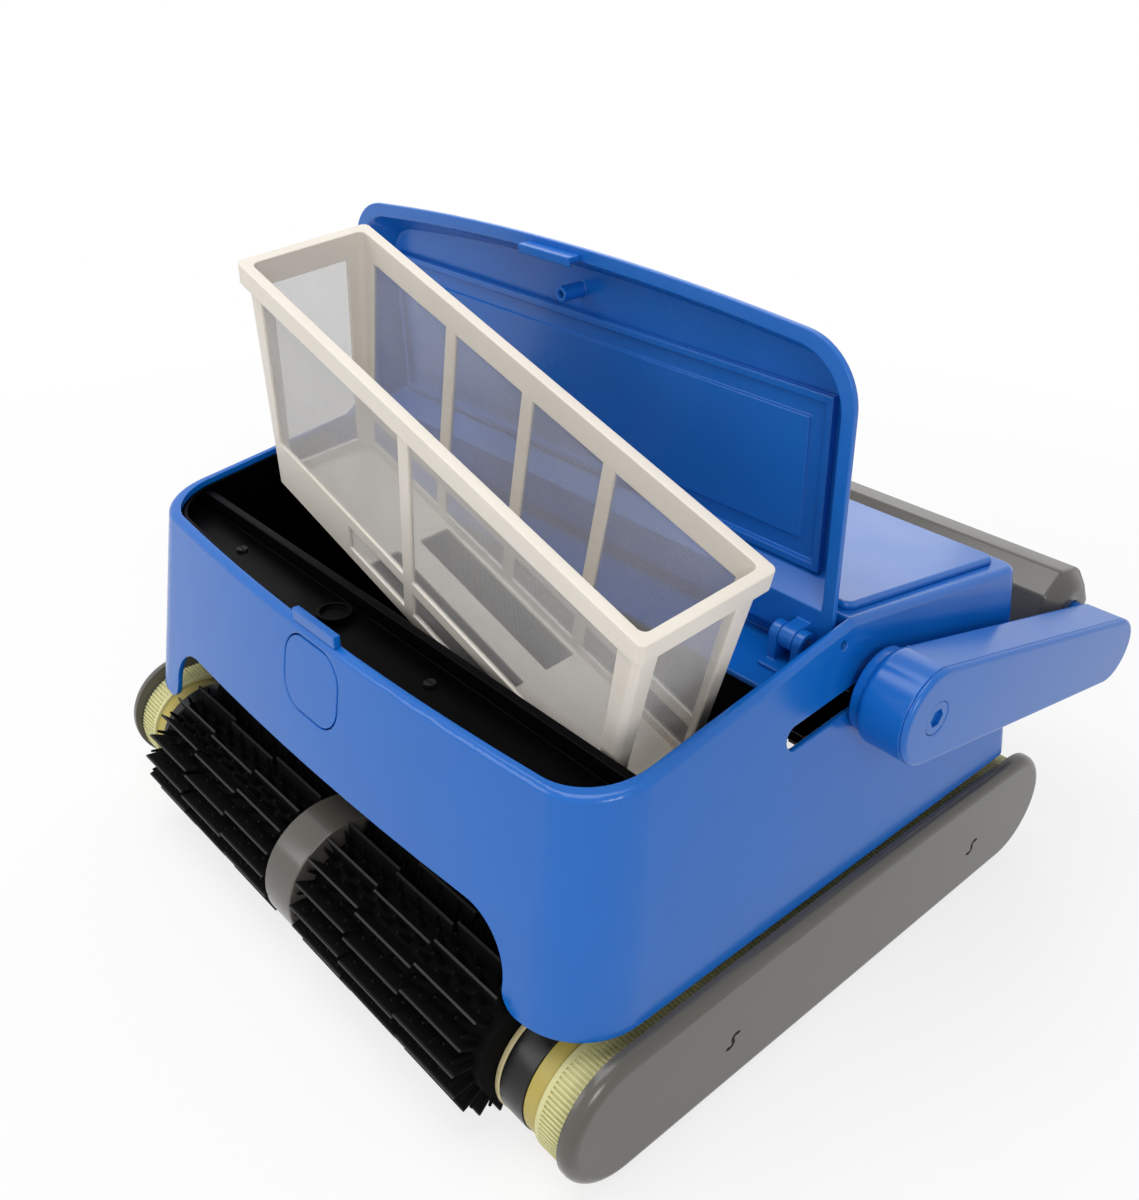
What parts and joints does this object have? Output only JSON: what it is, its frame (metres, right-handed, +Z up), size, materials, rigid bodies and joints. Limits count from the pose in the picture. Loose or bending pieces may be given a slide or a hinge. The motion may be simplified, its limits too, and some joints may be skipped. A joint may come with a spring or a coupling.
{
  "type": "robotic pool cleaner",
  "caption": "Tracked robotic pool cleaner with an open hinged lid, a lifted filter basket, finned brushes and a swinging float handle.",
  "frame": {"origin": "middle of the footprint on the floor, under the tracks", "axes": "+Z up, +X to the right-hand side seen from behind, -Y towards the button at the front"},
  "size_m": [0.464, 0.4465, 0.3555],
  "materials": {
    "blue_abs": "glossy moulded ABS",
    "deep_blue_abs": "glossy moulded ABS, deeper blue",
    "black_pp": "glossy black polypropylene",
    "grey_abs": "satin warm grey ABS",
    "cream_pp": "satin cream polypropylene",
    "mesh": "translucent woven filter mesh",
    "track_rubber": "pale yellow-green rubber",
    "brush_pvc": "black moulded PVC",
    "tan_plastic": "tan moulded plastic",
    "black_acetal": "black acetal",
    "steel": "stainless steel",
    "motor_housing": "sealed motor housing"
  },
  "bodies": {
    "chassis": {"main_shell": "blue_abs", "rear_deck": "blue_abs", "hinge_brackets": "blue_abs", "lid_hinge_pins": "steel", "filter_chamber": "black_pp", "chamber_partition": "black_pp", "chamber_plug": "black_pp", "bottom_plate": "black_pp", "side_frame_left": "black_pp", "side_frame_right": "black_pp", "side_panel_left": "grey_abs", "side_panel_right": "grey_abs", "track_left": "track_rubber", "track_right": "track_rubber", "wheel_axles": "steel", "brush_bridge_front": "grey_abs", "brush_bridge_rear": "grey_abs", "pump_motor": "motor_housing", "pump_duct": "black_pp", "drive_motor_left": "motor_housing", "drive_motor_right": "motor_housing", "screws": "steel", "cable_gland": "black_acetal", "latch_keeper": "blue_abs", "flap_pins": "steel"},
    "lid": {"lid_shell": "deep_blue_abs", "lid_liner": "deep_blue_abs", "lid_latch_tab": "deep_blue_abs"},
    "basket": {"basket_frame": "cream_pp", "basket_mesh": "mesh"},
    "handle_slider": {"handle_pins": "black_acetal", "arm_bolts": "blue_abs"},
    "handle": {"handle_bar": "grey_abs", "handle_arm_left": "blue_abs", "handle_arm_right": "blue_abs", "arm_cover_left": "blue_abs", "arm_cover_right": "blue_abs"},
    "release_button": {"release_button": "blue_abs"},
    "impeller": {"impeller": "black_acetal"},
    "inlet_flap_front": {"inlet_flap_front": "black_acetal"},
    "inlet_flap_rear": {"inlet_flap_rear": "black_acetal"},
    "wheel_front_left": {"wheel_hub_front_left": "tan_plastic", "ring_gear_front_left": "black_acetal", "wheel_flange_front_left": "cream_pp"},
    "brush_front_left": {"brush_front_left": "brush_pvc"},
    "wheel_rear_left": {"wheel_hub_rear_left": "tan_plastic", "ring_gear_rear_left": "black_acetal", "wheel_flange_rear_left": "cream_pp"},
    "brush_rear_left": {"brush_rear_left": "brush_pvc"},
    "drive_roller_left": {"drive_roller_left": "black_acetal"},
    "wheel_front_right": {"wheel_hub_front_right": "tan_plastic", "ring_gear_front_right": "black_acetal", "wheel_flange_front_right": "cream_pp"},
    "brush_front_right": {"brush_front_right": "brush_pvc"},
    "wheel_rear_right": {"wheel_hub_rear_right": "tan_plastic", "ring_gear_rear_right": "black_acetal", "wheel_flange_rear_right": "cream_pp"},
    "brush_rear_right": {"brush_rear_right": "brush_pvc"},
    "drive_roller_right": {"drive_roller_right": "black_acetal"}
  },
  "joints": [
    {"name": "lid_hinge", "type": "hinge", "parent": "chassis", "child": "lid", "pos_m": [0, -0.0305, 0.206], "axis": [1, 0, 0], "range_deg": [0, 97]},
    {"name": "basket_lift", "type": "hinge", "parent": "chassis", "child": "basket", "pos_m": [0.449, -0.215, 0.0491], "axis": [0.4004, 0.9144, -0.0591], "range_deg": [-18.35, 0]},
    {"name": "handle_slide", "type": "slide", "parent": "chassis", "child": "handle_slider", "axis": [0, -0.9966, -0.0827], "range_m": [-0.025, 0.02]},
    {"name": "handle_swing", "type": "hinge", "parent": "handle_slider", "child": "handle", "pos_m": [0, 0.0003, 0.17957], "axis": [1, 0, 0], "range_deg": [0, 60]},
    {"name": "button_push", "type": "slide", "parent": "chassis", "child": "release_button", "axis": [0, 1, 0], "range_m": [0, 0.003], "stiffness_N_per_m": 800},
    {"name": "impeller_spin", "type": "hinge", "parent": "chassis", "child": "impeller", "pos_m": [0, 0.0598, 0.15], "axis": [0, 1, 0], "continuous": true},
    {"name": "inlet_flap_front_swing", "type": "hinge", "parent": "chassis", "child": "inlet_flap_front", "pos_m": [0, -0.1057, 0.0207], "axis": [-1, 0, 0], "range_deg": [0, 20]},
    {"name": "inlet_flap_rear_swing", "type": "hinge", "parent": "chassis", "child": "inlet_flap_rear", "pos_m": [0, -0.0737, 0.0207], "axis": [-1, 0, 0], "range_deg": [0, 20]},
    {"name": "wheel_front_left_spin", "type": "hinge", "parent": "chassis", "child": "wheel_front_left", "pos_m": [0, -0.1707, 0.0325], "axis": [1, 0, 0], "continuous": true},
    {"name": "brush_front_left_spin", "type": "hinge", "parent": "chassis", "child": "brush_front_left", "pos_m": [0, -0.18231, 0.042], "axis": [1, 0, 0], "continuous": true},
    {"name": "wheel_rear_left_spin", "type": "hinge", "parent": "chassis", "child": "wheel_rear_left", "pos_m": [0, 0.1403, 0.0325], "axis": [1, 0, 0], "continuous": true},
    {"name": "brush_rear_left_spin", "type": "hinge", "parent": "chassis", "child": "brush_rear_left", "pos_m": [0, 0.15191, 0.042], "axis": [1, 0, 0], "continuous": true},
    {"name": "drive_roller_left_spin", "type": "hinge", "parent": "chassis", "child": "drive_roller_left", "pos_m": [0, 0.0403, 0.0495], "axis": [1, 0, 0], "continuous": true},
    {"name": "wheel_front_right_spin", "type": "hinge", "parent": "chassis", "child": "wheel_front_right", "pos_m": [0, -0.1707, 0.0325], "axis": [1, 0, 0], "continuous": true},
    {"name": "brush_front_right_spin", "type": "hinge", "parent": "chassis", "child": "brush_front_right", "pos_m": [0, -0.18231, 0.042], "axis": [1, 0, 0], "continuous": true},
    {"name": "wheel_rear_right_spin", "type": "hinge", "parent": "chassis", "child": "wheel_rear_right", "pos_m": [0, 0.1403, 0.0325], "axis": [1, 0, 0], "continuous": true},
    {"name": "brush_rear_right_spin", "type": "hinge", "parent": "chassis", "child": "brush_rear_right", "pos_m": [0, 0.15191, 0.042], "axis": [1, 0, 0], "continuous": true},
    {"name": "drive_roller_right_spin", "type": "hinge", "parent": "chassis", "child": "drive_roller_right", "pos_m": [0, 0.0403, 0.0495], "axis": [1, 0, 0], "continuous": true}
  ],
  "couplings": [
    {"joint": "basket_lift", "follows": "lid_hinge", "ratio": -0.18918},
    {"joint": "brush_front_left_spin", "follows": "wheel_front_left_spin", "ratio": 2.25},
    {"joint": "wheel_rear_left_spin", "follows": "wheel_front_left_spin", "ratio": 1},
    {"joint": "brush_rear_left_spin", "follows": "wheel_front_left_spin", "ratio": 2.25},
    {"joint": "drive_roller_left_spin", "follows": "wheel_front_left_spin", "ratio": 2.4417},
    {"joint": "brush_front_right_spin", "follows": "wheel_front_right_spin", "ratio": 2.25},
    {"joint": "wheel_rear_right_spin", "follows": "wheel_front_right_spin", "ratio": 1},
    {"joint": "brush_rear_right_spin", "follows": "wheel_front_right_spin", "ratio": 2.25},
    {"joint": "drive_roller_right_spin", "follows": "wheel_front_right_spin", "ratio": 2.4417}
  ]
}
